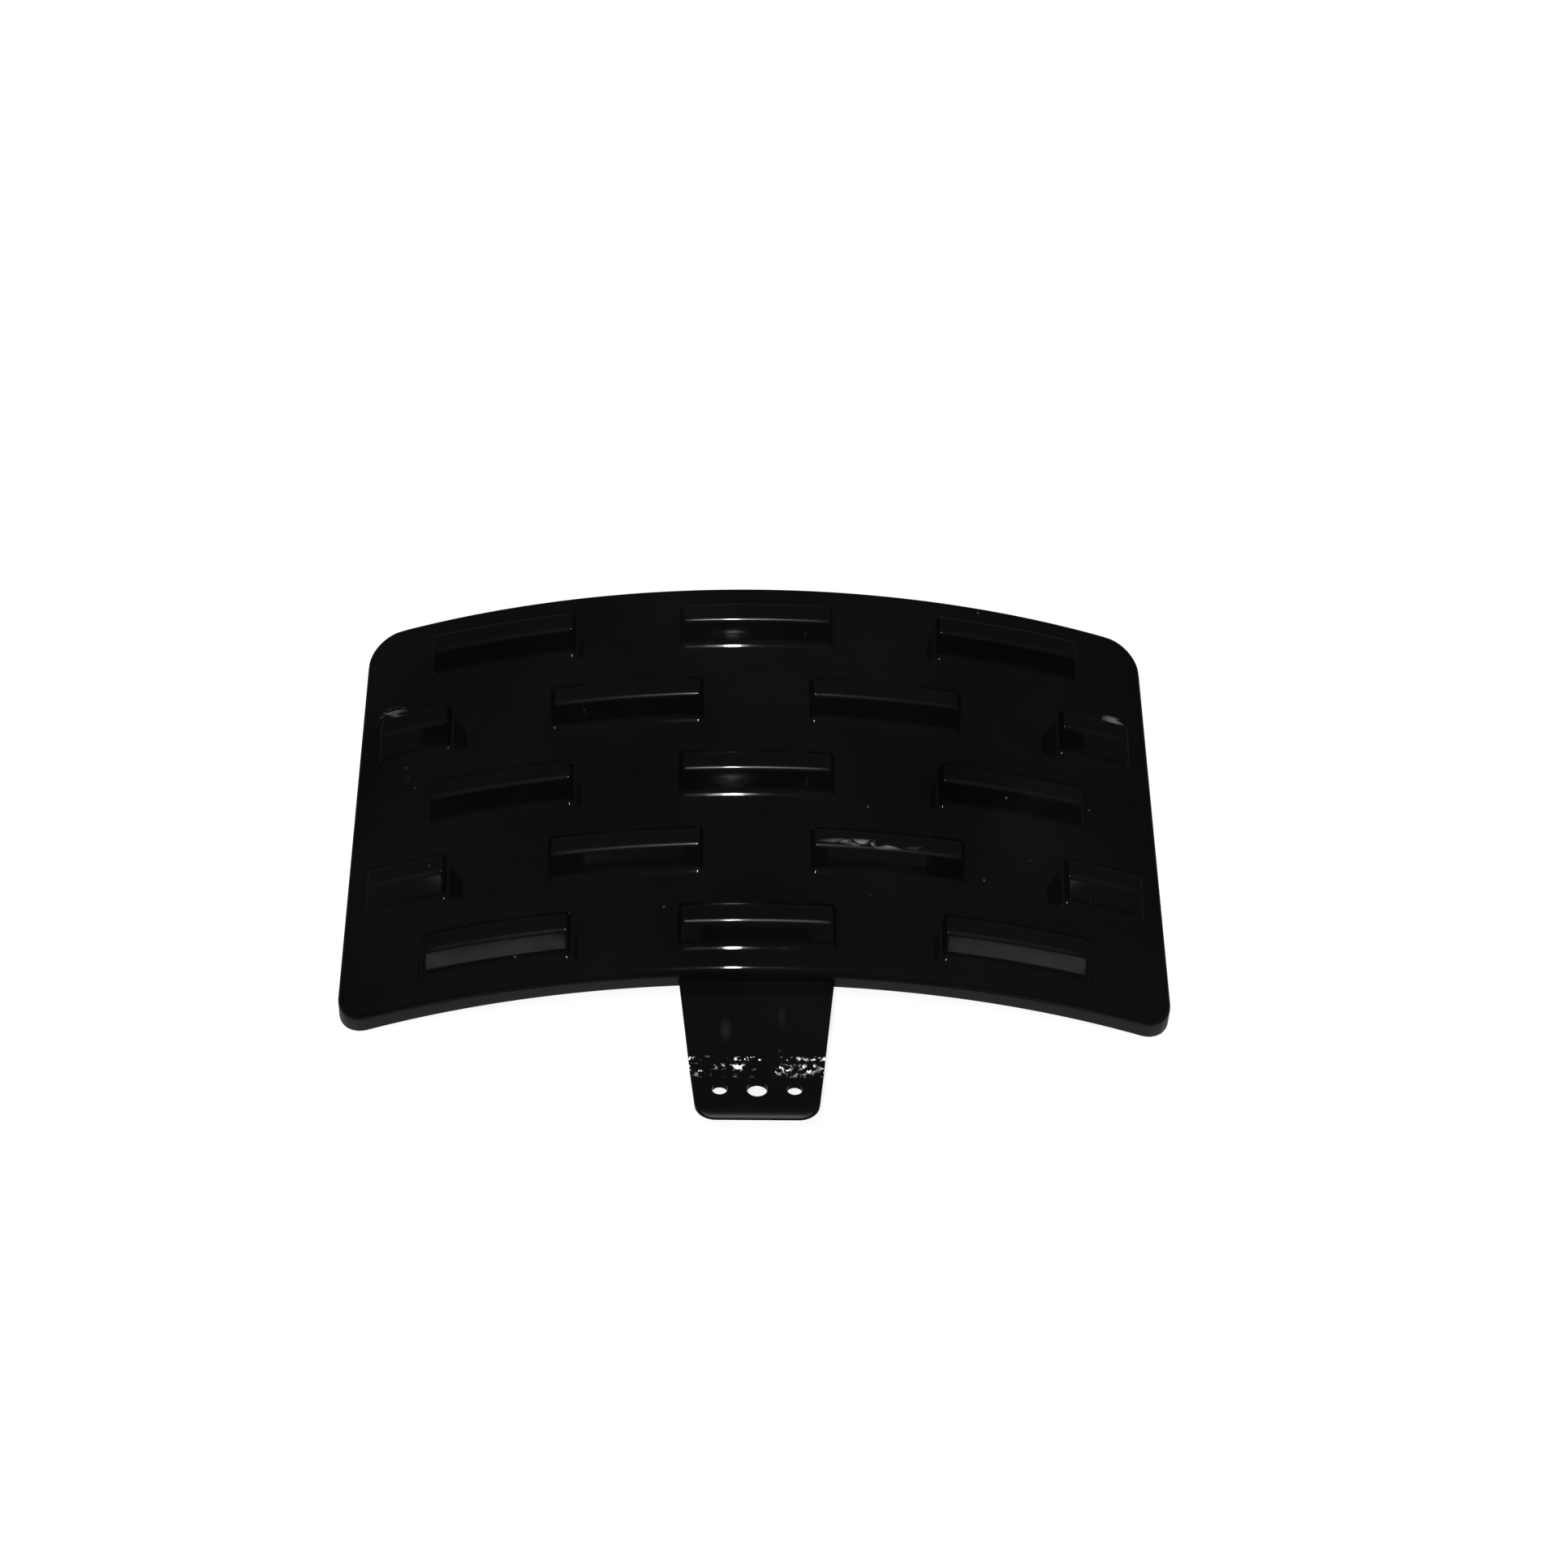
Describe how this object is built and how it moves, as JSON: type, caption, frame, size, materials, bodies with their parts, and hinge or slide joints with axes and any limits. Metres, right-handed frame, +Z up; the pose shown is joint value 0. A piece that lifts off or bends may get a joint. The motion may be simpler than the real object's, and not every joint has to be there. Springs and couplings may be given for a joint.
{
  "type": "scooter front panel trim",
  "caption": "Curved glossy trim panel for the front of a scooter, with staggered raised bars, a turned-down rim and a drilled mounting tab on a bent foot",
  "frame": {"origin": "centre of the bounding box at its base: the plane on which the two side rims lie with the raised bars up", "axes": "+X across the panel, +Y away from the mounting tab along the crown line, +Z up through the raised bars"},
  "size_m": [0.342, 0.2536, 0.0689],
  "materials": {
    "gloss_black": "high gloss moulded black"
  },
  "bodies": {
    "root": {"front_panel_trim": "gloss_black"}
  },
  "joints": []
}
